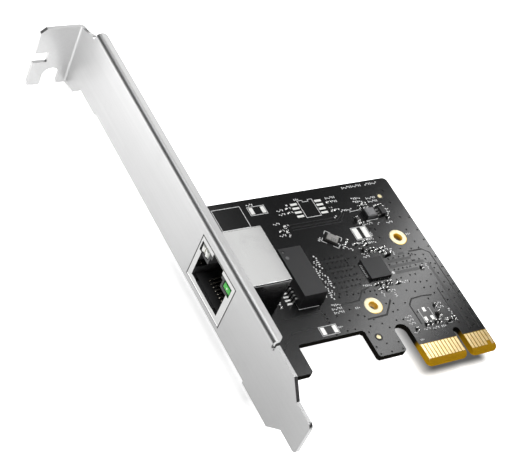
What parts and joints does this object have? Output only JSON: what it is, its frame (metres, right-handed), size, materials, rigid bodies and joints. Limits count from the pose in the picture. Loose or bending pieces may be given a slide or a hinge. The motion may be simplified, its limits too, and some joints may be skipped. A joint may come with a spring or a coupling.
{
  "type": "ethernet adapter card",
  "caption": "Small black network adapter board with gold edge contacts, a shielded network jack and a full-height steel mounting bracket.",
  "frame": {"origin": "middle of the key notch at the bottom of the edge contacts, on the component surface", "axes": "+X along the card edge away from the bracket, +Y from the edge contacts towards the bracket's screw tab, +Z out of the component side"},
  "size_m": [0.0773, 0.1201, 0.0222],
  "materials": {
    "board_laminate": "satin black solder mask",
    "contact_gold": "gold plating",
    "bracket_steel": "satin bright plating",
    "screw_steel": "zinc plating",
    "shield_steel": "smooth nickel plating",
    "housing_plastic": "moulded matte",
    "spring_gold": "gold plating",
    "lamp_clear": "milky clear",
    "lamp_green": "clear green",
    "tinned_metal": "bright tin",
    "solder": "bright solder",
    "moulded_black": "fine matte epoxy",
    "ceramic_brown": "matte ceramic",
    "crystal_metal": "smooth lid",
    "ferrite_grey": "matte ferrite",
    "capacitor_tan": "matte ceramic",
    "resistor_black": "glazed black"
  },
  "bodies": {
    "root": {"circuit_board": "board_laminate", "edge_contacts_front": "contact_gold", "edge_contacts_back": "contact_gold", "bracket": "bracket_steel", "bracket_screws": "screw_steel", "jack_shield": "shield_steel", "jack_housing": "housing_plastic", "jack_contacts": "spring_gold", "jack_lamp_clear": "lamp_clear", "jack_lamp_green": "lamp_green", "jack_lamp_leads": "tinned_metal", "jack_solder_joints": "solder", "transformer_body": "moulded_black", "transformer_leads": "tinned_metal", "controller_body": "moulded_black", "controller_terminals": "solder", "crystal_base": "ceramic_brown", "crystal_lid": "crystal_metal", "inductor_core": "ferrite_grey", "inductor_terminals": "solder", "regulator_body": "moulded_black", "regulator_leads": "tinned_metal", "capacitor_bodies": "capacitor_tan", "capacitor_ends": "tinned_metal", "resistor_bodies": "resistor_black", "resistor_ends": "tinned_metal", "heatsink_hole_rings": "contact_gold", "fiducial_marks": "contact_gold", "memory_footprint_pads": "contact_gold", "coil_footprint_pads": "contact_gold", "fuse_footprint_pads": "contact_gold", "transistor_footprint_pads": "contact_gold"}
  },
  "joints": []
}
